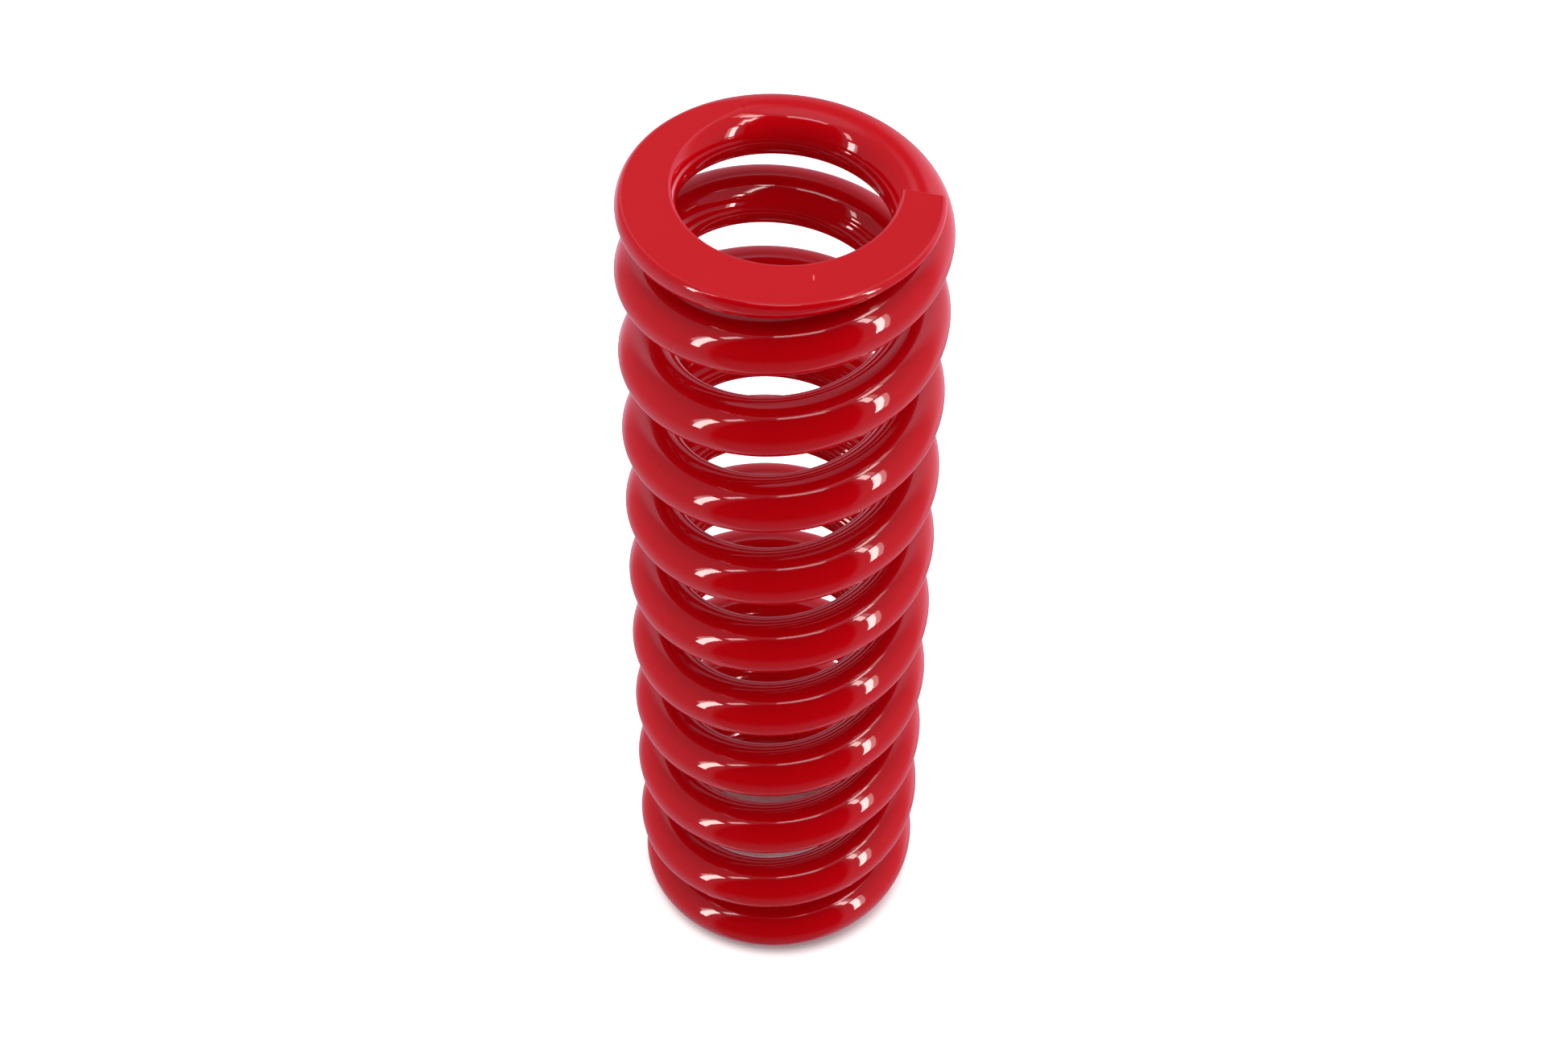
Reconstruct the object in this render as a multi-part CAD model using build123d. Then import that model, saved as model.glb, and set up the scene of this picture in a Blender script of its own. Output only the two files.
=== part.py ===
from build123d import *
import math
import os

# Compression coil spring for a coil-over shock absorber: one round bar, wound
# right-handed, with both ends closed and ground flat. Millimetres, +Z up. The
# origin is on the spring's axis, in the plane of the lower ground face.
#
# The bar is divided by upright planes through the axis into lengths that move
# as the spring closes: a lower end turn that stands still, half turns that
# follow in proportion, and an upper end turn that makes the whole stroke. The
# cuts are upright because the lengths slide past each other along Z.

# Bar and coil
WIRE_DIAMETER = 12.7
BORE_DIAMETER = 46.0  # inside the open turns
FREE_LENGTH = 232.0
TOTAL_TURNS = 10.924
UPPER_TIP_AZIMUTH = -0.7  # degrees about Z, from +X towards +Y

# Ends: turns that lie on their neighbour, then turns over which the pitch opens
LOWER_CLOSED_TURNS = 0.94
LOWER_OPENING_TURNS = 0.37
UPPER_CLOSED_TURNS = 0.60
UPPER_OPENING_TURNS = 0.96
CLOSED_GAP = 0.3  # air between a closed turn and its neighbour
LOWER_TIP_THICKNESS = 4.4  # what grinding leaves of the bar at its tip
UPPER_TIP_THICKNESS = 3.6
TIP_SKEW = 12.4  # degrees the bar's end cuts are off square; the inner corner leads
UNCUT_TURNS = 0.02  # bar wound past each end cut

# The end turns are wound a little tighter than the rest
LOWER_TIP_NIP = 1.25  # how much smaller the mean radius is at the tip
UPPER_TIP_NIP = 0.95
NIP_TURNS = 1.55  # the radius grows to its full size over these turns

# Division of the bar
GROUND_END_TURNS = 0.75  # the stretch at each tip that holds the ground face
LOWER_END_TURNS = 1.25  # how much of the bar stands still
MOVING_TURNS = 0.5  # one moving length
SHORTEST_UPPER_END = 1.0  # the upper end is at least this many turns
SECTIONS_PER_TURN = 16
DEGREES_PER_TURN = 360.0

WIRE_RADIUS = WIRE_DIAMETER / 2
MEAN_RADIUS = (BORE_DIAMETER + WIRE_DIAMETER) / 2
CLOSED_PITCH = WIRE_DIAMETER + CLOSED_GAP
LOWER_TIP_AZIMUTH = UPPER_TIP_AZIMUTH - TOTAL_TURNS * DEGREES_PER_TURN
UPPER_OPENING_START = TOTAL_TURNS - UPPER_CLOSED_TURNS - UPPER_OPENING_TURNS
LOWER_TIP_HEIGHT = LOWER_TIP_THICKNESS - WIRE_RADIUS
UPPER_TIP_HEIGHT = FREE_LENGTH - UPPER_TIP_THICKNESS + WIRE_RADIUS


def smooth(share):
    """A step from 0 to 1 with no corner at either end."""
    share = min(max(share, 0.0), 1.0)
    return share * share * (3 - 2 * share)


def run_in(turns, length):
    """Area under a smooth step of that length, up to that many turns."""
    if turns <= 0:
        return 0.0
    if turns >= length:
        return turns - length / 2
    share = turns / length
    return length * (share**3 - share**4 / 2)


def opened(turn):
    """How many turns of open pitch the bar has made when it reaches a turn."""
    gained = run_in(turn - LOWER_CLOSED_TURNS, LOWER_OPENING_TURNS)
    lost = run_in(turn - UPPER_OPENING_START, UPPER_OPENING_TURNS)
    return gained - lost


OPEN_TURNS = opened(TOTAL_TURNS)
RISE = UPPER_TIP_HEIGHT - LOWER_TIP_HEIGHT
OPEN_PITCH = CLOSED_PITCH + (RISE - CLOSED_PITCH * TOTAL_TURNS) / OPEN_TURNS


def height(turn):
    """Height of the bar's centre line."""
    return LOWER_TIP_HEIGHT + CLOSED_PITCH * turn + (OPEN_PITCH - CLOSED_PITCH) * opened(turn)


def radius(turn):
    """Distance of the bar's centre line from the axis."""
    lower = LOWER_TIP_NIP * (1 - smooth(turn / NIP_TURNS))
    upper = UPPER_TIP_NIP * (1 - smooth((TOTAL_TURNS - turn) / NIP_TURNS))
    return MEAN_RADIUS - lower - upper


def upright(turn):
    """The upright plane through the axis, centred on the bar and facing along it."""
    azimuth = math.radians(LOWER_TIP_AZIMUTH + turn * DEGREES_PER_TURN)
    outward = Vector(math.cos(azimuth), math.sin(azimuth), 0)
    forward = Vector(-math.sin(azimuth), math.cos(azimuth), 0)
    centre = outward * radius(turn) + Vector(0, 0, height(turn))
    return Plane(centre, x_dir=outward, z_dir=forward)


def section(turn):
    """The bar's round section."""
    return upright(turn) * Circle(WIRE_RADIUS)


def bar(start, end):
    """The bar from one turn to another, as wound, before grinding."""
    steps = math.ceil((end - start) * SECTIONS_PER_TURN)
    turns = [start + (end - start) * step / steps for step in range(steps + 1)]
    return loft([section(turn) for turn in turns])


def below_lower_cut():
    """What the lower tip's end cut takes away."""
    start = (Align.CENTER, Align.CENTER, Align.MAX)
    waste = Box(2 * WIRE_DIAMETER, 2 * WIRE_DIAMETER, WIRE_DIAMETER, align=start)
    return upright(0) * Rot(0, -TIP_SKEW, 0) * waste


def beyond_upper_cut():
    """What the upper tip's end cut takes away."""
    start = (Align.CENTER, Align.CENTER, Align.MIN)
    waste = Box(2 * WIRE_DIAMETER, 2 * WIRE_DIAMETER, WIRE_DIAMETER, align=start)
    return upright(TOTAL_TURNS) * Rot(0, TIP_SKEW, 0) * waste


def lower_end():
    """The still lengths: the tip the spring stands on, and the run-in above it."""
    wound = bar(-UNCUT_TURNS, GROUND_END_TURNS) - below_lower_cut()
    tip = split(wound, Plane.XY, keep=Keep.TOP)
    return {"lower_ground_end": tip, "lower_run_in": bar(GROUND_END_TURNS, LOWER_END_TURNS)}


def upper_end(start):
    """The lengths that make the whole stroke, up to the tip that carries the load."""
    ground_start = TOTAL_TURNS - GROUND_END_TURNS
    ground = Plane.XY.offset(FREE_LENGTH)
    wound = bar(ground_start, TOTAL_TURNS + UNCUT_TURNS) - beyond_upper_cut()
    tip = split(wound, ground, keep=Keep.BOTTOM)
    return {"upper_run_out": bar(start, ground_start), "upper_ground_end": tip}


def half_turns(count):
    """The lengths in between, numbered upwards."""
    starts = [LOWER_END_TURNS + number * MOVING_TURNS for number in range(count)]
    return {
        f"half_turn_{number + 1:02d}": bar(start, start + MOVING_TURNS)
        for number, start in enumerate(starts)
    }


def spring():
    """Every named length of the bar, from the lower tip to the upper."""
    moving = TOTAL_TURNS - LOWER_END_TURNS - SHORTEST_UPPER_END
    count = int(moving / MOVING_TURNS)
    upper_start = LOWER_END_TURNS + count * MOVING_TURNS
    return lower_end() | half_turns(count) | upper_end(upper_start)


def main():
    os.makedirs("parts", exist_ok=True)
    for name, shape in spring().items():
        shape.label = name
        export_step(shape, f"parts/{name}.step")


main()
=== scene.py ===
import logging
import math
from dataclasses import dataclass, field
from enum import Enum
from typing import ClassVar, Iterable

import bpy
import numpy as np
from mathutils import Matrix, Vector


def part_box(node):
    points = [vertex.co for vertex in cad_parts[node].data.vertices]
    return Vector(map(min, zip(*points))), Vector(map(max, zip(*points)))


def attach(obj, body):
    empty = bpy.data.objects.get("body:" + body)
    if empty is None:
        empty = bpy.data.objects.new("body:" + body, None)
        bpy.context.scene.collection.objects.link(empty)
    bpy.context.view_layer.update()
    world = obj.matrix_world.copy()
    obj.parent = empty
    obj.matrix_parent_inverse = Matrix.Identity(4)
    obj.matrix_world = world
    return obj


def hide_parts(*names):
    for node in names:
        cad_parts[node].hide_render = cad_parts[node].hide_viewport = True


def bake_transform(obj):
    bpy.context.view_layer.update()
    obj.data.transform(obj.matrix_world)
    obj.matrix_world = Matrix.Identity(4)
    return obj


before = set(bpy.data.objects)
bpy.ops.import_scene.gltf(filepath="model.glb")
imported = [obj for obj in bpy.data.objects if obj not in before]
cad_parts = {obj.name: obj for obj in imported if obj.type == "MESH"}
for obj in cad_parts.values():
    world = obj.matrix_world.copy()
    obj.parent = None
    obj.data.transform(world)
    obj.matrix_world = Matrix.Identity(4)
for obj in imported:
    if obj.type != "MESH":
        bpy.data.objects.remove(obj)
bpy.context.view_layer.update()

log = logging.getLogger("coil_spring")

TURN = 2 * math.pi
QUAD = 4
MOST_CORNER = 0.98  # share of an end cut's rounded corner that is drawn

# What an input of a node can be given.
Input = bpy.types.NodeSocket | float | tuple[float, ...]
LOWER_BODY = "lower_end"
GROUND_SHARE = "ground_share"


class Grinding(Enum):
    """Which side of a length of bar is ground flat."""

    NONE = 0
    UNDERNEATH = -1
    ON_TOP = 1


@dataclass(frozen=True)
class Coil:
    """The wound bar, as a formula for its centre line. Metres, turns and degrees.

    Turns are counted along the bar from the lower tip.

    Args:
        wire_diameter: Of the bar.
        bore_diameter: Inside the open turns.
        free_length: Height with no load.
        total_turns: From tip to tip.
        upper_tip_azimuth: Where the upper tip ends, about Z.
        lower_closed_turns: Turns at the foot that lie on each other.
        lower_opening_turns: Turns over which the pitch opens.
        upper_closed_turns: Turns at the top that lie on each other.
        upper_opening_turns: Turns over which the pitch closes.
        closed_gap: Clearance between closed turns.
        lower_tip_thickness: What the grinding leaves of the lower tip.
        upper_tip_thickness: What it leaves of the upper tip.
        lower_tip_nip: How far the lower tip is drawn in.
        upper_tip_nip: How far the upper tip is drawn in.
        nip_turns: Turns over which a tip is drawn in.
        tip_skew: How far the end cuts are off square.
    """

    wire_diameter: float = 0.0127
    bore_diameter: float = 0.046
    free_length: float = 0.232
    total_turns: float = 10.924
    upper_tip_azimuth: float = -0.7
    lower_closed_turns: float = 0.94
    lower_opening_turns: float = 0.37
    upper_closed_turns: float = 0.60
    upper_opening_turns: float = 0.96
    closed_gap: float = 0.0003
    lower_tip_thickness: float = 0.0044
    upper_tip_thickness: float = 0.0036
    lower_tip_nip: float = 0.00125
    upper_tip_nip: float = 0.00095
    nip_turns: float = 1.55
    tip_skew: float = 12.4

    @property
    def wire_radius(self) -> float:
        """Radius of the bar's round section."""
        return self.wire_diameter / 2

    @property
    def mean_radius(self) -> float:
        """Distance from the axis to the bar's centre in the open turns."""
        return (self.bore_diameter + self.wire_diameter) / 2

    @property
    def closed_pitch(self) -> float:
        """Rise of a turn that lies on its neighbour."""
        return self.wire_diameter + self.closed_gap

    @property
    def lower_tip_height(self) -> float:
        """Height of the centre line at the lower tip."""
        return self.lower_tip_thickness - self.wire_radius

    @property
    def open_pitch(self) -> float:
        """Rise of a working turn.

        Returns:
            What is left of the free length after the closed turns, for each open turn.
        """
        top = self.free_length - self.upper_tip_thickness + self.wire_radius
        rise = top - self.lower_tip_height
        open_turns = self.opened(np.array(self.total_turns))
        return self.closed_pitch + (rise - self.closed_pitch * self.total_turns) / float(open_turns)

    @staticmethod
    def smooth(share: np.ndarray) -> np.ndarray:
        """A step from 0 to 1 with no corner at either end.

        Args:
            share: How far through the step, below 0 before it and above 1 after it.

        Returns:
            The step's value.
        """
        share = np.clip(share, 0.0, 1.0)
        return share * share * (3 - 2 * share)

    @staticmethod
    def run_in(turns: np.ndarray, length: float) -> np.ndarray:
        """Area under a smooth step, from its start.

        Args:
            turns: How far from the step's start.
            length: The step's length in turns.

        Returns:
            The area, in turns.
        """
        share = np.clip(turns / length, 0.0, 1.0)
        return length * (share**3 - share**4 / 2) + np.maximum(turns - length, 0.0)

    def opened(self, turn: np.ndarray) -> np.ndarray:
        """Turns of open pitch that the bar has made when it reaches a turn.

        Args:
            turn: Turns from the lower tip.

        Returns:
            The open turns below it.
        """
        closing = self.total_turns - self.upper_closed_turns - self.upper_opening_turns
        gained = self.run_in(turn - self.lower_closed_turns, self.lower_opening_turns)
        return gained - self.run_in(turn - closing, self.upper_opening_turns)

    def height(self, turn: np.ndarray) -> np.ndarray:
        """Height of the centre line.

        Args:
            turn: Turns from the lower tip.

        Returns:
            Height over the floor in metres.
        """
        extra = (self.open_pitch - self.closed_pitch) * self.opened(turn)
        return self.lower_tip_height + self.closed_pitch * turn + extra

    def radius(self, turn: np.ndarray) -> np.ndarray:
        """Distance of the centre line from the axis.

        Args:
            turn: Turns from the lower tip.

        Returns:
            The distance in metres.
        """
        lower = self.lower_tip_nip * (1 - self.smooth(turn / self.nip_turns))
        upper = self.upper_tip_nip * (1 - self.smooth((self.total_turns - turn) / self.nip_turns))
        return self.mean_radius - lower - upper

    def azimuth(self, turn: np.ndarray) -> np.ndarray:
        """Where the centre line is, going round the axis.

        Args:
            turn: Turns from the lower tip.

        Returns:
            Angle about Z in radians, from +X towards +Y.
        """
        return math.radians(self.upper_tip_azimuth) + (turn - self.total_turns) * TURN

    def share(self, turn: np.ndarray) -> np.ndarray:
        """How much of the spring's shortening has built up below a turn.

        Args:
            turn: Turns from the lower tip.

        Returns:
            The share, from 0 to 1.
        """
        return self.opened(turn) / self.opened(np.array(self.total_turns))


@dataclass(frozen=True)
class Outline:
    """The bar's section where it is cut by an upright plane through the axis.

    Args:
        wire_radius: Radius of the bar.
        edge_radius: Rounding of the ground face's edges.
        points: Points in a ring.
        crowding: How much closer together points stand at those edges.
        samples: Places walked through to space the points.
    """

    wire_radius: float
    edge_radius: float = 0.0011
    points: int = 72
    crowding: float = 3.0
    samples: int = 1440

    def _walk(self, flat: float) -> tuple[np.ndarray, np.ndarray, np.ndarray, np.ndarray]:
        """Follows the outline once round from the bottom, with the flat on top.

        Args:
            flat: Height of the ground face over the section's centre.

        Returns:
            Distance walked, places, outward normals and how much each place is an edge.
        """
        r, edge = self.wire_radius, self.edge_radius
        inner = r - edge
        if flat - edge >= inner:
            side, meet = 0.0, 0.0
        else:
            side = math.sqrt(inner**2 - (flat - edge) ** 2)
            meet = math.atan2(side, flat - edge)
        lengths = [r * (math.pi - meet), edge * meet, 2 * side, edge * meet, r * (math.pi - meet)]
        marks = np.concatenate([[0.0], np.cumsum(lengths)])
        walked = np.linspace(0.0, marks[-1], self.samples)
        angle = np.interp(walked, marks, [math.pi, meet, 0.0, 0.0, -meet, -math.pi])
        normals = np.stack([np.sin(angle), np.cos(angle)], 1)
        part = np.clip(np.searchsorted(marks, walked, "right") - 1, 0, 4)
        centre = np.zeros((self.samples, 2))
        reach = np.full(self.samples, r)
        for corner, sign in ((1, 1.0), (3, -1.0)):
            here = part == corner
            centre[here] = (sign * side, flat - edge)
            reach[here] = edge
        places = centre + normals * reach[:, None]
        level = part == 2
        places[level, 0] = side - (walked[level] - marks[2])
        places[level, 1] = flat
        width = 2 * edge
        bumps = [np.exp(-(((walked - (marks[i] + marks[i + 1]) / 2) / width) ** 2)) for i in (1, 3)]
        return walked, places, normals, (bumps[0] + bumps[1]) * min(meet, 1.0)

    def ring(self, flat: float) -> tuple[np.ndarray, np.ndarray]:
        """Points of one section, closer together round the edges of the ground face.

        Args:
            flat: Height of the ground face over the section's centre.

        Returns:
            Places and outward normals, each as rows of outward and up.
        """
        walked, places, normals, edges = self._walk(flat)
        weight = 1 + self.crowding * edges
        steps = np.concatenate([[0.0], np.cumsum((weight[1:] + weight[:-1]) / 2 * np.diff(walked))])
        wanted = np.arange(self.points) / self.points * steps[-1]
        at = np.interp(wanted, steps, walked)
        place = np.stack([np.interp(at, walked, places[:, i]) for i in (0, 1)], 1)
        normal = np.stack([np.interp(at, walked, normals[:, i]) for i in (0, 1)], 1)
        return place, normal / np.linalg.norm(normal, axis=1)[:, None]


@dataclass
class BarLength:
    """One named length of the bar, as a closed mesh.

    Args:
        name: The CAD node it stands for.
        start: Where it begins, in turns from the lower tip.
        end: Where it ends.
        grinding: Which side is ground flat.
        slot: The record's material slot.
        coil: The bar that it is part of.
        rings_per_turn: How many rings stand in a turn.
        tip_radius: Rounding of the end cut's edge.
        tip_rings: Rings in that rounding.
        skewed_turns: Turns over which rings lean towards the end cut.
        corner_start: Where the cut's outer corner starts to round, from the bar's centre.
        corner_width: How wide the rounding is.
        corner_length: How long it is.
        ground_depth: How far down the ground face's finish reaches.
        steps_per_ring: How finely the bar's direction is measured.
    """

    name: str
    start: float
    end: float
    slot: str
    grinding: Grinding = Grinding.NONE
    coil: Coil = field(default_factory=Coil)
    rings_per_turn: int = 120
    tip_radius: float = 0.0004
    tip_rings: int = 5
    skewed_turns: float = 0.06
    corner_start: float = 0.0042
    corner_width: float = 0.0016
    corner_length: float = 0.003
    ground_depth: float = 0.00012
    steps_per_ring: int = 16

    @property
    def outline(self) -> Outline:
        """The section that is drawn along this length."""
        return Outline(self.coil.wire_radius)

    @property
    def turns_per_metre(self) -> float:
        """Turns in a metre of bar."""
        return 1 / (self.coil.mean_radius * TURN)

    def stations(self) -> list[tuple[float, float, float]]:
        """Where each ring stands.

        Returns:
            For each ring: its turn, how far it is drawn in, and how much it faces along the bar.
        """
        count = math.ceil((self.end - self.start) * self.rings_per_turn)
        reach = self.tip_radius * self.turns_per_metre
        low = reach if self.start == 0.0 else 0.0
        high = reach if self.end == self.coil.total_turns else 0.0
        first, last = self.start + low, self.end - high
        rows = [(first + (last - first) * i / count, 0.0, 0.0) for i in range(count + 1)]
        quarter = [math.pi / 2 * i / self.tip_rings for i in range(self.tip_rings)]
        for a in reversed(quarter):
            inset, facing = self.tip_radius * (1 - math.sin(a)), math.cos(a)
            if low:
                rows.insert(0, (first - reach * facing, inset, -facing))
            if high:
                rows.append((last + reach * facing, inset, facing))
        return rows

    def cross_section(self, turn: float, inset: float) -> tuple[np.ndarray, np.ndarray]:
        """The bar's section in the upright plane at one turn.

        Args:
            turn: Where along the bar.
            inset: How far the section is drawn in from the surface.

        Returns:
            Places and normals, each as rows of outward from the bar's centre and up.
        """
        coil = self.coil
        centre = float(coil.height(np.array(turn)))
        flat, up = coil.wire_diameter, 1.0
        if self.grinding is Grinding.ON_TOP:
            flat = coil.free_length - centre
        if self.grinding is Grinding.UNDERNEATH:
            flat, up = centre, -1.0
        place, normal = self.outline.ring(flat)
        return (place - normal * inset) * (1, up), normal * (1, up)

    def corner_share(self, outward: np.ndarray) -> np.ndarray:
        """How far round the end cut's outer corner points are.

        Args:
            outward: Each point's distance outwards from the bar's centre.

        Returns:
            0 before the corner, up to nearly 1 at its end.
        """
        share = (outward - self.corner_start) / self.corner_width
        return np.clip(share, 0.0, MOST_CORNER)

    def shift(self, turn: float, outward: np.ndarray) -> np.ndarray:
        """How far points of a ring stand beyond its turn, because the end cuts are askew.

        Args:
            turn: The ring's turn.
            outward: Each point's distance outwards from the bar's centre.

        Returns:
            The shift of each point, in turns, positive up the bar.
        """
        coil = self.coil
        corner = self.corner_share(outward)
        lead = -outward * math.tan(math.radians(coil.tip_skew))
        lead = lead - self.corner_length * (1 - np.sqrt(1 - corner**2))
        reach = 1 / (TURN * (coil.mean_radius + outward))
        lower = 1 - Coil.smooth(np.array(turn / self.skewed_turns))
        upper = 1 - Coil.smooth(np.array((coil.total_turns - turn) / self.skewed_turns))
        return lead * reach * (float(upper) - float(lower))

    def cut_normals(
        self, turn: float, inset: float, along: np.ndarray, facing: float
    ) -> np.ndarray:
        """Which way the end cut faces at each point of a ring.

        Args:
            turn: The ring's turn.
            inset: How far the ring is drawn in.
            along: The bar's direction at each point.
            facing: 1 at the upper tip, -1 at the lower.

        Returns:
            Unit normals.
        """
        outward = self.cross_section(turn, inset)[0][:, 0]
        corner = self.corner_share(outward)
        lean = math.tan(math.radians(self.coil.tip_skew))
        lean = lean + self.corner_length / self.corner_width * corner / np.sqrt(1 - corner**2)
        azimuth = float(self.coil.azimuth(np.array(turn)))
        away = np.array([math.cos(azimuth), math.sin(azimuth), 0.0])
        normals = along * facing + away * lean[:, None]
        return normals / np.linalg.norm(normals, axis=1)[:, None]

    def ring(self, turn: float, inset: float) -> tuple[np.ndarray, np.ndarray]:
        """One ring of the bar's surface in the spring's frame.

        Args:
            turn: Where along the bar.
            inset: How far the ring is drawn in from the surface.

        Returns:
            Places, and normals in the section's own plane.
        """
        coil = self.coil
        place, normal = self.cross_section(turn, inset)
        turns = turn + self.shift(turn, place[:, 0])
        if np.ptp(turns) > 0:
            for i, own in enumerate(turns):
                section = self.cross_section(own, inset)
                place[i], normal[i] = section[0][i], section[1][i]
        azimuth = coil.azimuth(turns)
        outward = np.stack([np.cos(azimuth), np.sin(azimuth), np.zeros(len(turns))], 1)
        places = outward * (coil.radius(turns) + place[:, 0])[:, None]
        places[:, 2] = coil.height(turns) + place[:, 1]
        normals = outward * normal[:, :1]
        normals[:, 2] = normal[:, 1]
        return places, normals

    def surface(self) -> tuple[np.ndarray, np.ndarray]:
        """Works out every ring's points.

        Returns:
            Places, and the surface's true normals there.
        """
        step = 1 / (self.steps_per_ring * self.rings_per_turn)
        places, normals = [], []
        for turn, inset, facing in self.stations():
            place, normal = self.ring(turn, inset)
            along = self.ring(turn + step, inset)[0] - self.ring(turn - step, inset)[0]
            along /= np.linalg.norm(along, axis=1)[:, None]
            across = normal - along * (normal * along).sum(1)[:, None]
            across /= np.linalg.norm(across, axis=1)[:, None]
            if facing:
                cut = self.cut_normals(turn, inset, along, math.copysign(1.0, facing))
                across = across * math.sqrt(1 - facing**2) + cut * abs(facing)
                across /= np.linalg.norm(across, axis=1)[:, None]
            places.append(place)
            normals.append(across)
        return np.concatenate(places), np.concatenate(normals)

    def build(self) -> bpy.types.Object:
        """Winds the bar from a circle and closes both of its ends.

        Returns:
            The finished piece.
        """
        places, normals = self.surface()
        points = self.outline.points
        rings = len(places) // points
        bpy.ops.object.select_all(action="DESELECT")
        bpy.ops.mesh.primitive_circle_add(
            vertices=points,
            radius=self.coil.wire_radius,
            fill_type="NOTHING",
            location=(self.coil.mean_radius, 0, 0),
            rotation=(math.pi / 2, 0, 0),
        )
        piece = bpy.context.object
        bpy.ops.object.transform_apply(location=True, rotation=True, scale=True)
        bpy.ops.object.mode_set(mode="EDIT")
        bpy.ops.mesh.select_all(action="SELECT")
        bpy.ops.mesh.spin(steps=rings - 1, angle=-math.pi / 2, center=(0, 0, 0), axis=(0, 0, 1))
        bpy.ops.object.mode_set(mode="OBJECT")
        mesh = piece.data
        mesh.vertices.foreach_set("co", places.astype(np.float32).ravel())
        mesh.update()
        self._close(piece, rings, points)
        self._point_outwards(piece)
        self._shade(mesh, normals)
        piece.name = f"bar_{self.name}"
        mesh.name = piece.name
        self._note_ground(mesh)
        return piece

    @staticmethod
    def _close(piece: bpy.types.Object, rings: int, points: int) -> None:
        """Puts a face across the first ring and the last.

        Args:
            piece: The wound bar.
            rings: How many rings it has.
            points: Points in a ring.
        """
        for first in (0, (rings - 1) * points):
            bpy.ops.object.mode_set(mode="EDIT")
            bpy.ops.mesh.select_mode(type="VERT")
            bpy.ops.mesh.select_all(action="DESELECT")
            bpy.ops.object.mode_set(mode="OBJECT")
            for vertex in piece.data.vertices[first:first + points]:
                vertex.select = True
            bpy.ops.object.mode_set(mode="EDIT")
            bpy.ops.mesh.edge_face_add()
            bpy.ops.object.mode_set(mode="OBJECT")

    @staticmethod
    def _point_outwards(piece: bpy.types.Object) -> None:
        """Turns every face to look out of the bar.

        Args:
            piece: The closed bar.
        """
        bpy.ops.object.mode_set(mode="EDIT")
        bpy.ops.mesh.select_all(action="SELECT")
        bpy.ops.mesh.normals_make_consistent(inside=False)
        bpy.ops.object.mode_set(mode="OBJECT")

    @staticmethod
    def _shade(mesh: bpy.types.Mesh, normals: np.ndarray) -> None:
        """Gives the round of the bar its true normals, so that lengths meet with no seam.

        Args:
            mesh: The closed bar.
            normals: The true normal at each point.
        """
        mesh.shade_smooth()
        corners = np.empty(len(mesh.loops), np.int32)
        mesh.loops.foreach_get("vertex_index", corners)
        shading = normals[corners]
        for face in mesh.polygons:
            if face.loop_total > QUAD:  # an end cut
                shading[face.loop_start:face.loop_start + face.loop_total] = face.normal
        mesh.normals_split_custom_set(shading.tolist())

    def _note_ground(self, mesh: bpy.types.Mesh) -> None:
        """Stores how much of the ground face's finish each point has.

        Args:
            mesh: The closed bar.
        """
        places = np.empty(len(mesh.vertices) * 3)
        mesh.vertices.foreach_get("co", places)
        height = places[2::3]
        depth = np.ones(len(height))
        if self.grinding is Grinding.ON_TOP:
            depth = self.coil.free_length - height
        if self.grinding is Grinding.UNDERNEATH:
            depth = height
        fade = 1 - Coil.smooth(depth / self.ground_depth)
        mesh.attributes.new(GROUND_SHARE, "FLOAT", "POINT").data.foreach_set("value", fade)

    def attach(self, piece: bpy.types.Object) -> None:
        """Hides the CAD part it stands for; ties the length to the lower end's body when none of it
        moves, and otherwise bakes its place into the mesh.

        Args:
            piece: The finished piece.
        """
        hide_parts(self.name)
        turns = np.array([turn for turn, _, _ in self.stations()])
        shares = np.repeat(self.coil.share(turns), self.outline.points)
        if shares.max() <= 0.0:
            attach(piece, LOWER_BODY)
            return
        low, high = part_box(self.name)
        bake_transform(piece)


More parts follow.
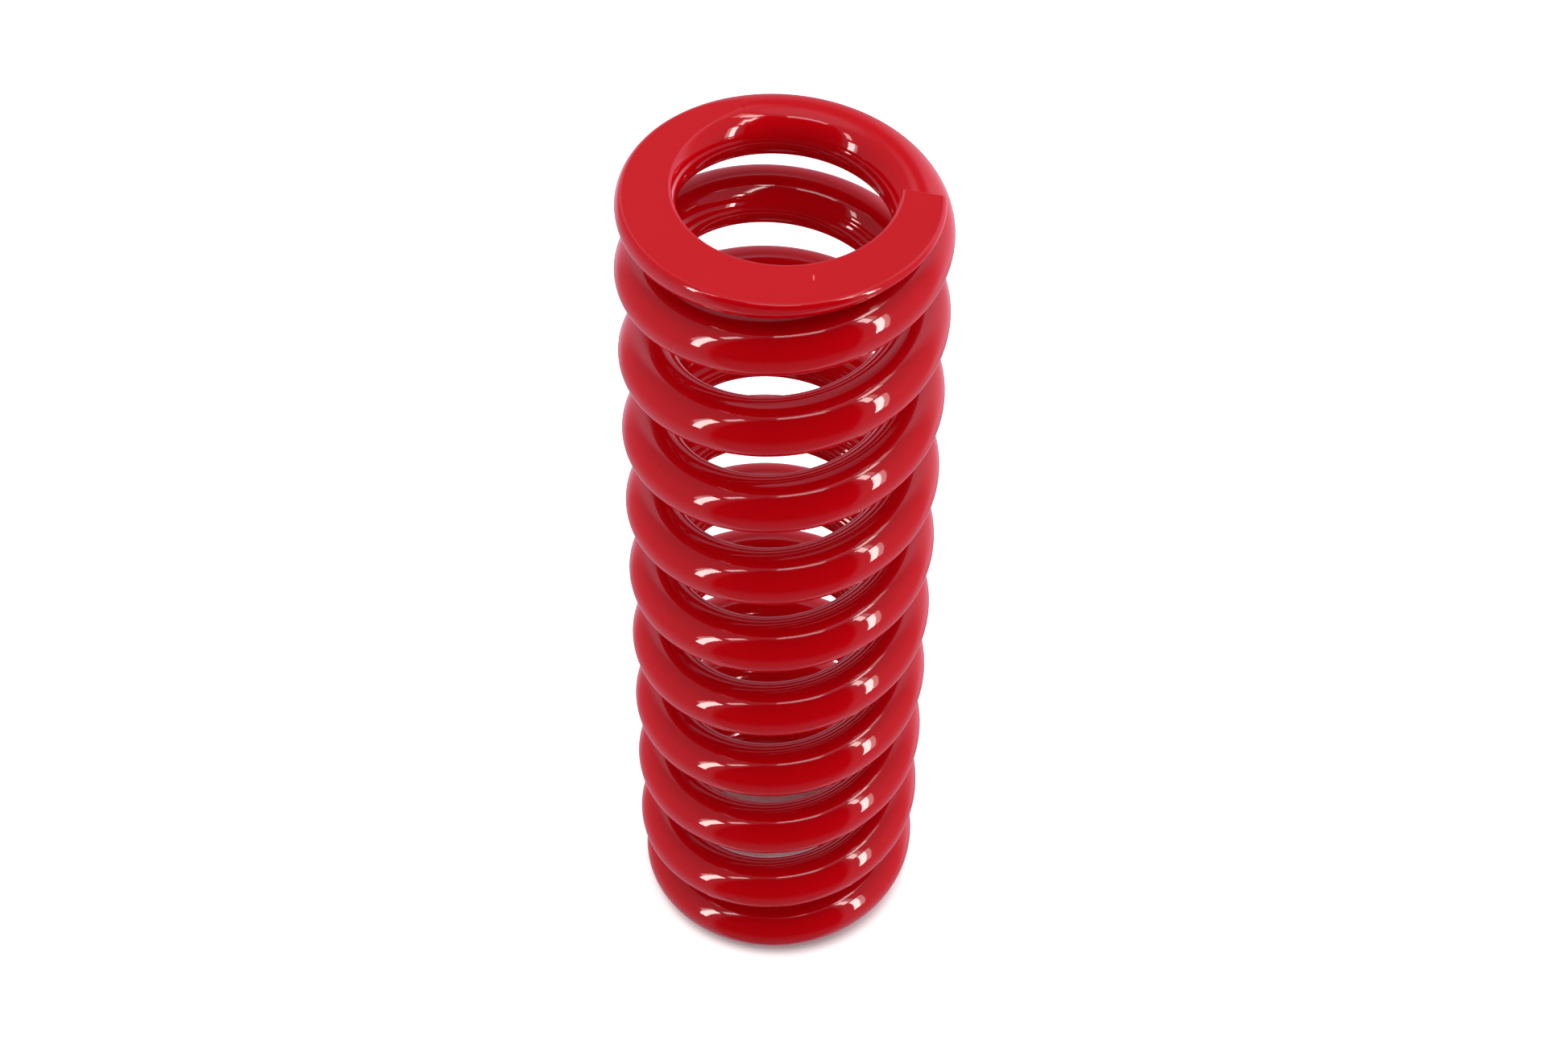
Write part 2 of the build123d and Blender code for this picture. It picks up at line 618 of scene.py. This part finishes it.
@dataclass(frozen=True)
class Graph:
    """The nodes of one finish or sky, and the links between them.

    Args:
        tree: The node tree they stand in.
    """

    tree: bpy.types.NodeTree

    def add(self, kind: str, **options: str) -> bpy.types.Node:
        """Adds a node.

        Args:
            kind: Which node.
            options: Its settings.

        Returns:
            The node.
        """
        node = self.tree.nodes.new(kind)
        for name, option in options.items():
            setattr(node, name, option)
        return node

    def feed(self, socket: bpy.types.NodeSocket, value: Input) -> None:
        """Gives an input its value.

        Args:
            socket: The input.
            value: An output to link to it, or what to set it to.
        """
        if isinstance(value, bpy.types.NodeSocket):
            self.tree.links.new(value, socket)
        else:
            socket.default_value = value

    def sum_of(self, operation: str, *terms: Input) -> bpy.types.NodeSocket:
        """Works out a sum.

        Args:
            operation: What is done with the terms.
            terms: Outputs or numbers.

        Returns:
            The result.
        """
        node = self.add("ShaderNodeMath", operation=operation)
        for socket, term in zip(node.inputs, terms):
            self.feed(socket, term)
        return node.outputs[0]

    def vector_of(self, operation: str, first: Input, second: Input = (0, 0, 0)) -> bpy.types.Node:
        """Works out a sum with places.

        Args:
            operation: What is done with them.
            first: The first place.
            second: The second place.

        Returns:
            The node.
        """
        node = self.add("ShaderNodeVectorMath", operation=operation)
        self.feed(node.inputs[0], first)
        self.feed(node.inputs[1], second)
        return node

    def ramp(
        self,
        value: Input,
        before: float,
        after: float,
        most: float = 1.0,
        least: float = 0.0,
        interpolation_type: str = "LINEAR",
    ) -> bpy.types.NodeSocket:
        """Goes from one number to another as a value changes.

        Args:
            value: What it follows.
            before: The value at which the number is the least.
            after: The value at which it is the most.
            most: The number after it.
            least: The number before it.
            interpolation_type: The ramp's shape.

        Returns:
            The number.
        """
        node = self.add("ShaderNodeMapRange", interpolation_type=interpolation_type)
        self.feed(node.inputs["Value"], value)
        self.feed(node.inputs["From Min"], before)
        self.feed(node.inputs["From Max"], after)
        self.feed(node.inputs["To Min"], least)
        self.feed(node.inputs["To Max"], most)
        return node.outputs["Result"]

    def mixed_colour(self, factor: Input, first: Input, second: Input) -> bpy.types.NodeSocket:
        """Mixes two colours.

        Args:
            factor: 0 for the first, 1 for the second.
            first: A colour.
            second: Another.

        Returns:
            The mixture.
        """
        node = self.add("ShaderNodeMix", data_type="RGBA")
        self.feed(node.inputs["Factor"], factor)
        self.feed(node.inputs["A"], first)
        self.feed(node.inputs["B"], second)
        return node.outputs["Result"]

    def mixed_number(self, factor: Input, first: Input, second: Input) -> bpy.types.NodeSocket:
        """Mixes two numbers.

        Args:
            factor: 0 for the first, 1 for the second.
            first: A number.
            second: Another.

        Returns:
            The mixture.
        """
        node = self.add("ShaderNodeMix")
        self.feed(node.inputs["Factor"], factor)
        self.feed(node.inputs["A"], first)
        self.feed(node.inputs["B"], second)
        return node.outputs["Result"]

    def noise(self, place: Input, size: float, detail: float) -> bpy.types.NodeSocket:
        """Soft random bumps of about one size.

        Args:
            place: Where on the surface.
            size: Width of a bump in metres.
            detail: How many finer layers they have.

        Returns:
            The bumps' height, from 0 to 1.
        """
        texture = self.add("ShaderNodeTexNoise")
        self.feed(texture.inputs["Vector"], place)
        self.feed(texture.inputs["Scale"], 1 / size)
        self.feed(texture.inputs["Detail"], detail)
        return texture.outputs["Fac"]


@dataclass(frozen=True)
class Paint:
    """Red powder coat over shot-peened steel, duller where the steel under it is ground.

    Args:
        name: The finish's name.
        red: The paint where it lies thin.
        deep_red: The paint where it lies thick.
        cloud_size: Width of the patches of thin and thick paint.
        cloud_detail: How many finer layers they have.
        ior: How strongly it mirrors.
        roughness: Of the round of the bar.
        ground_roughness: Of the ground faces.
        peel_size: Width of the waves that the paint dried in.
        grain_size: Width of the finer grain on the ground faces.
        peel_depth: Depth of both.
        peel_detail: How many finer layers both have.
        chip_glint_colour: The chip in the upper ground face, painted lighter pink as a glint.
        chip_glint_place: Where it is.
        chip_glint_size: Its half sizes.
        chip_glint_edge: Where its edge starts and ends, in half sizes.
    """

    name: str
    red: tuple[float, float, float] = (0.44, 0.0004, 0.0034)
    deep_red: tuple[float, float, float] = (0.40, 0.0004, 0.0030)
    cloud_size: float = 1 / 45
    cloud_detail: float = 4.0
    ior: float = 1.5
    roughness: float = 0.05
    ground_roughness: float = 0.24
    peel_size: float = 0.0026
    grain_size: float = 0.0006
    peel_depth: float = 0.000003
    peel_detail: float = 2.0
    # A lighter pink spot on the upper ground face: a paint chip with a painted glint.
    chip_glint_colour: tuple[float, float, float] = (0.62, 0.12, 0.12)
    chip_glint_place: tuple[float, float, float] = (0.0059, -0.0263, 0.232)
    chip_glint_size: tuple[float, float, float] = (0.00018, 0.0008, 0.0008)
    chip_glint_edge: tuple[float, float] = (1.2, 0.8)

    def chip_and_glint(self, graph: Graph, place: bpy.types.NodeSocket) -> bpy.types.NodeSocket:
        """A small chip in the paint of the upper ground face, with a painted glint on it.

        Args:
            graph: The finish's nodes.
            place: Where on the bar.

        Returns:
            1 inside the chip and its painted glint, and 0 outside it.
        """
        away = graph.vector_of("SUBTRACT", place, self.chip_glint_place).outputs["Vector"]
        shares = graph.vector_of("DIVIDE", away, self.chip_glint_size).outputs["Vector"]
        return graph.ramp(graph.vector_of("LENGTH", shares).outputs["Value"], *self.chip_glint_edge)

    def colour(self, graph: Graph, place: bpy.types.NodeSocket) -> bpy.types.NodeSocket:
        """Red, a little deeper in soft patches, with the chip and its painted glint in it.

        Args:
            graph: The finish's nodes.
            place: Where on the bar.

        Returns:
            The colour.
        """
        clouds = graph.noise(place, self.cloud_size, self.cloud_detail)
        red = graph.mixed_colour(clouds, (*self.deep_red, 1), (*self.red, 1))
        # The chip's lighter pink is partly a painted glint.
        return graph.mixed_colour(self.chip_and_glint(graph, place), red, (*self.chip_glint_colour, 1))

    def material(self) -> bpy.types.Material:
        """Builds the finish.

        Returns:
            The finish as a material.
        """
        made = bpy.data.materials.new(self.name)
        made.use_nodes = True
        graph = Graph(made.node_tree)
        shader = made.node_tree.nodes["Principled BSDF"]
        place = graph.add("ShaderNodeTexCoord").outputs["Object"]
        ground = graph.add("ShaderNodeAttribute", attribute_name=GROUND_SHARE).outputs["Fac"]
        peel = graph.noise(place, self.peel_size, self.peel_detail)
        grain = graph.noise(place, self.grain_size, self.peel_detail)
        bump = graph.add("ShaderNodeBump")
        graph.feed(bump.inputs["Strength"], 1.0)
        graph.feed(bump.inputs["Distance"], self.peel_depth)
        graph.feed(bump.inputs["Height"], graph.sum_of("MULTIPLY_ADD", grain, ground, peel))
        rough = graph.ramp(ground, 0.0, 1.0, self.ground_roughness, self.roughness)
        graph.feed(shader.inputs["IOR"], self.ior)
        graph.feed(shader.inputs["Base Color"], self.colour(graph, place))
        graph.feed(shader.inputs["Roughness"], rough)
        graph.feed(shader.inputs["Normal"], bump.outputs["Normal"])
        return made


@dataclass
class Spring:
    """The whole spring: two ends and the working turns between them.

    Args:
        coil: The wound bar.
        ground_end_turns: Length of each ground end.
        lower_end_turns: Where the working turns begin.
        moving_turns: Length of each working piece.
        half_turns: How many there are.
    """

    coil: Coil = field(default_factory=Coil)
    ground_end_turns: float = 0.75
    lower_end_turns: float = 1.25
    moving_turns: float = 0.5
    half_turns: int = 17

    def lengths(self) -> Iterable[BarLength]:
        """Divides the bar into its named lengths.

        Yields:
            Each length, from the lower tip to the upper.
        """
        last = self.lower_end_turns + self.half_turns * self.moving_turns
        top = self.coil.total_turns - self.ground_end_turns
        end, bar = "ground_end_paint", "bar_paint"
        yield BarLength("lower_ground_end", 0.0, self.ground_end_turns, end, Grinding.UNDERNEATH)
        yield BarLength("lower_run_in", self.ground_end_turns, self.lower_end_turns, bar)
        for number in range(self.half_turns):
            start = self.lower_end_turns + number * self.moving_turns
            yield BarLength(f"half_turn_{number + 1:02d}", start, start + self.moving_turns, bar)
        yield BarLength("upper_run_out", last, top, bar)
        yield BarLength("upper_ground_end", top, self.coil.total_turns, end, Grinding.ON_TOP)

    def build(self) -> None:
        """Builds, paints and attaches each length."""
        paint = {
            "bar_paint": Paint("red_powder_coat").material(),
            "ground_end_paint": Paint("red_powder_coat_ground_end").material(),
        }
        for length in self.lengths():
            piece = length.build()
            piece.data.materials.append(paint[length.slot])
            length.attach(piece)
            log.info("built %s with %d faces", piece.name, len(piece.data.polygons))


class Show(Enum):
    """How a light takes part."""

    IN_THE_PAINT = "its shape is mirrored by the gloss"
    AS_LIGHT = "it lights the colour and isn't mirrored"


@dataclass(frozen=True)
class SoftBox:
    """A light that covers a window of directions as seen from the spring. Degrees.

    Args:
        name: The light's name.
        left: Its left edge, as an angle about Z.
        right: Its right edge.
        low: Its lower edge, as an angle up from level.
        high: Its upper edge.
        radiance: How bright it is.
        show: How it takes part.
        distance: How far away it stands, in metres.
        colour: Its colour.
        least_width: The least share of its width that a high light keeps.
    """

    name: str
    left: float
    right: float
    low: float
    high: float
    radiance: float
    show: Show = Show.IN_THE_PAINT
    distance: float = 2.2
    colour: tuple[float, float, float] = (1.0, 0.96, 0.92)
    least_width: float = 0.2

    def build(self, target: Vector) -> None:
        """Adds the light, out of the camera's sight; a light in the paint is seen only in
        reflections, and a light for the colour lights only the diffuse colour.

        Args:
            target: What it is turned towards.
        """
        a = math.radians((self.left + self.right) / 2)
        e = math.radians((self.low + self.high) / 2)
        away = Vector((math.cos(e) * math.cos(a), math.cos(e) * math.sin(a), math.sin(e)))
        span = math.radians(self.right - self.left) * max(math.cos(e), self.least_width)
        width = 2 * self.distance * math.tan(span / 2)
        height = 2 * self.distance * math.tan(math.radians(self.high - self.low) / 2)
        bpy.ops.object.select_all(action="DESELECT")
        bpy.ops.object.light_add(type="AREA", location=target + away * self.distance)
        lamp = bpy.context.object
        lamp.name = self.name
        lamp.rotation_euler = away.to_track_quat("Z", "Y").to_euler()
        lamp.data.shape = "RECTANGLE"
        lamp.data.size = width
        lamp.data.size_y = height
        lamp.data.energy = self.radiance * math.pi * width * height
        lamp.data.color = self.colour
        lamp.visible_camera = False
        lamp.visible_glossy = self.show is Show.IN_THE_PAINT
        lamp.visible_diffuse = self.show is Show.AS_LIGHT


@dataclass(frozen=True)
class SkyPatch:
    """A part of the tent round the spring, as the paint mirrors it. Degrees.

    Args:
        left: Its left edge, as an angle from the front.
        right: Its right edge.
        low: Its lower edge, as an angle up from level.
        high: Its upper edge.
        soft: How wide its edges fade.
        radiance: How bright it is.
    """

    left: float
    right: float
    low: float
    high: float
    soft: float
    radiance: float

    @staticmethod
    def window(
        graph: Graph, value: bpy.types.NodeSocket, low: float, high: float, soft: float
    ) -> bpy.types.NodeSocket:
        """A soft-edged window on one angle.

        Args:
            graph: The sky's nodes.
            value: The angle.
            low: Where the window starts.
            high: Where it ends.
            soft: How wide its edges are.

        Returns:
            1 inside and 0 outside.
        """
        away = graph.sum_of("ABSOLUTE", graph.sum_of("SUBTRACT", value, (low + high) / 2))
        outer, inner = (high - low + soft) / 2, (high - low - soft) / 2
        return graph.ramp(away, outer, inner, interpolation_type="SMOOTHSTEP")

    def over(
        self, graph: Graph, shade: Input, across: bpy.types.NodeSocket, up: bpy.types.NodeSocket
    ) -> bpy.types.NodeSocket:
        """Lays the patch over what is there.

        Args:
            graph: The sky's nodes.
            shade: How bright the sky is without it.
            across: The direction's angle from the front.
            up: Its angle up from level.

        Returns:
            How bright the sky is with it.
        """
        level = self.window(graph, across, self.left, self.right, self.soft)
        upright = self.window(graph, up, self.low, self.high, self.soft)
        return graph.mixed_number(graph.sum_of("MULTIPLY", level, upright), shade, self.radiance)


@dataclass(frozen=True)
class Floor:
    """A wide white floor, with painted shade inside the spring and close round its foot. Metres.

    Args:
        name: The floor's name.
        size: Its width.
        drop: How far it lies under the lower ground face.
        white: Its colour.
        roughness: How dull it is.
        sheen: How strongly it mirrors.
        glow: How much brighter the camera sees it, away from the spring.
        foot_radius: Where that glow starts, from the axis.
        clear_radius: Where it is full.
    """

    name: str = "floor"
    size: float = 12.0
    drop: float = 0.0002
    white: float = 0.8
    roughness: float = 0.8
    sheen: float = 0.1
    glow: float = 0.5
    foot_radius: float = 0.031
    clear_radius: float = 0.0364

    def material(self) -> bpy.types.Material:
        """Builds the finish.

        Returns:
            The finish as a material.
        """
        made = bpy.data.materials.new("white_floor")
        made.use_nodes = True
        graph = Graph(made.node_tree)
        place = graph.add("ShaderNodeTexCoord").outputs["Object"]
        reach = graph.vector_of("LENGTH", place).outputs["Value"]
        # Inside the spring and round its foot the camera-only glow is left out: painted shade on
        # the floor.
        clear = graph.ramp(
            reach, self.foot_radius, self.clear_radius, self.glow, interpolation_type="SMOOTHSTEP"
        )
        seen = graph.add("ShaderNodeLightPath").outputs["Is Camera Ray"]
        shader = made.node_tree.nodes["Principled BSDF"]
        graph.feed(shader.inputs["Base Color"], (self.white, self.white, self.white, 1))
        graph.feed(shader.inputs["Roughness"], self.roughness)
        graph.feed(shader.inputs["Specular IOR Level"], self.sheen)
        graph.feed(shader.inputs["Emission Color"], (1, 1, 1, 1))
        graph.feed(shader.inputs["Emission Strength"], graph.sum_of("MULTIPLY", clear, seen))
        return made

    def build(self) -> None:
        """Lays the floor under the lower ground face."""
        bpy.ops.object.select_all(action="DESELECT")
        bpy.ops.mesh.primitive_plane_add(size=self.size, location=(0, 0, -self.drop))
        floor = bpy.context.object
        floor.name = self.name
        floor.data.materials.append(self.material())
        floor.visible_glossy = False


@dataclass(frozen=True)
class Eye:
    """A camera above the spring, looking down along its length. Metres and degrees.

    Args:
        elevation: How steeply it looks down.
        distance: How far it is from the spring's middle.
        aim: What it looks at.
        roll: How far it is turned about its line of sight.
        lens: Focal length in millimetres.
        film: Width of the film in millimetres.
        nearest: The nearest thing it sees.
    """

    elevation: float = 49.05
    distance: float = 0.6346
    aim: tuple[float, float, float] = (0.0007, 0.0, 0.1301)
    roll: float = 0.732
    lens: float = 61.72
    film: float = 36.0
    nearest: float = 0.01

    def build(self, middle: Vector) -> None:
        """Adds the camera and makes it the scene's own.

        Args:
            middle: The spring's middle.
        """
        e = math.radians(self.elevation)
        place = middle + Vector((0, -math.cos(e), math.sin(e))) * self.distance
        bpy.ops.object.camera_add(location=place)
        camera = bpy.context.object
        forward = (Vector(self.aim) - place).normalized()
        turn = forward.to_track_quat("-Z", "Y").to_matrix().to_4x4()
        spun = turn @ Matrix.Rotation(math.radians(self.roll), 4, "Z")
        camera.matrix_world = Matrix.Translation(place) @ spun
        camera.data.lens = self.lens
        camera.data.sensor_width = self.film
        camera.data.clip_start = self.nearest
        bpy.context.scene.camera = camera


@dataclass
class Studio:
    """A white tent with an open front, strip lights round the opening, a floor and the camera.

    Args:
        coil: The spring that stands in it.
        tent_shade: How bright the tent is where no patch is.
        tint: The tent's colour in the paint.
    """

    coil: Coil = field(default_factory=Coil)
    tent_shade: float = 0.42
    tint: tuple[float, float, float, float] = (1.0, 0.84, 1.06, 1)

    STRIPS: ClassVar[tuple[SoftBox, ...]] = (
        SoftBox("left_strip", -149.2, -143.3, -5, 36, 18),
        SoftBox("left_strip_edge", -152, -149.2, 10, 37, 4),
        SoftBox("left_upper_strip", -148, -142, 44, 58, 8.5),
        SoftBox("right_strip", -37.4, -32, -7, 35.5, 20),
        SoftBox("right_strip_edge", -32, -28, -7, 35.5, 4),
        SoftBox("right_upper_strip", -41.5, -36, 40, 60, 13),
        SoftBox("right_upper_edge", -36, -32, 40, 57, 2.5),
        SoftBox("right_top_strip", -37, -13, 62, 68.5, 10),
        SoftBox("right_top_end", -13, 8, 63, 69.5, 3),
        SoftBox("front_top_strip", -129, -68, 68.5, 74, 5),
    )
    WALLS: ClassVar[tuple[SoftBox, ...]] = (
        SoftBox("left_wall", -200, -160, -1, 25, 4.2, Show.AS_LIGHT),
        SoftBox("left_front_wall", -160, -120, -1, 25, 1.5, Show.AS_LIGHT),
        SoftBox("left_roof", -210, -150, 27, 57, 0.4, Show.AS_LIGHT),
        SoftBox("right_wall", -40, 0, -1, 25, 5.4, Show.AS_LIGHT),
        SoftBox("right_back_wall", 0, 40, -1, 25, 1.25, Show.AS_LIGHT),
        SoftBox("right_roof", -30, 30, 27, 57, 0.8, Show.AS_LIGHT),
        SoftBox("back_roof", 90, 150, 27, 57, 0.6, Show.AS_LIGHT),
        SoftBox("roof", -45, 225, 61, 115, 2.3, Show.AS_LIGHT),
    )
    TENT: ClassVar[tuple[SkyPatch, ...]] = (
        SkyPatch(-140, 0, -30, 74, 40, 0.38),
        SkyPatch(0, 130, -30, 74, 30, 0.44),
        SkyPatch(-200, 200, 72, 110, 10, 0.95),
        SkyPatch(-200, 200, -110, -28, 20, 0.50),
        SkyPatch(-47, 44, -110, 66, 6, 0.02),
        SkyPatch(-50, 50, -110, -28, 26, 0.22),
        SkyPatch(108, 160, -35, 64, 22, 1.2),
        SkyPatch(-164, -138, -35, 58, 22, 1.05),
        SkyPatch(164, 200, 32, 62, 14, 0.26),
        SkyPatch(-200, -168, 32, 62, 14, 0.26),
    )

    def build(self) -> None:
        """Sets up everything that isn't part of the spring."""
        middle = Vector((0, 0, self.coil.free_length / 2))
        Floor().build()
        for box in self.STRIPS + self.WALLS:
            box.build(middle)
        Eye().build(middle)
        self.sky()
        bpy.context.scene.view_settings.view_transform = "Standard"

    def sky(self) -> None:
        """The tent's walls, roof and open front, as the paint mirrors them."""
        world = bpy.data.worlds.new("studio")
        world.use_nodes = True
        bpy.context.scene.world = world
        graph = Graph(world.node_tree)
        parts = graph.add("ShaderNodeSeparateXYZ").outputs
        direction = graph.add("ShaderNodeTexCoord").outputs["Generated"]
        graph.feed(parts["X"].node.inputs["Vector"], direction)
        ahead = graph.sum_of("MULTIPLY", parts["Y"], -1.0)
        across = graph.sum_of("DEGREES", graph.sum_of("ARCTAN2", parts["X"], ahead))
        up = graph.sum_of("DEGREES", graph.sum_of("ARCSINE", parts["Z"]))
        shade = self.tent_shade
        for patch in self.TENT:
            shade = patch.over(graph, shade, across, up)
        seen = graph.add("ShaderNodeLightPath").outputs["Is Camera Ray"]
        backdrop = world.node_tree.nodes["Background"]
        graph.feed(backdrop.inputs["Strength"], graph.mixed_number(seen, shade, 1.0))
        graph.feed(backdrop.inputs["Color"], graph.mixed_colour(seen, self.tint, (1, 1, 1, 1)))


def main() -> None:
    """Builds the spring and then the studio round it."""
    logging.basicConfig(level=logging.INFO)
    Spring().build()
    Studio().build()


if __name__ == "__main__":
    main()
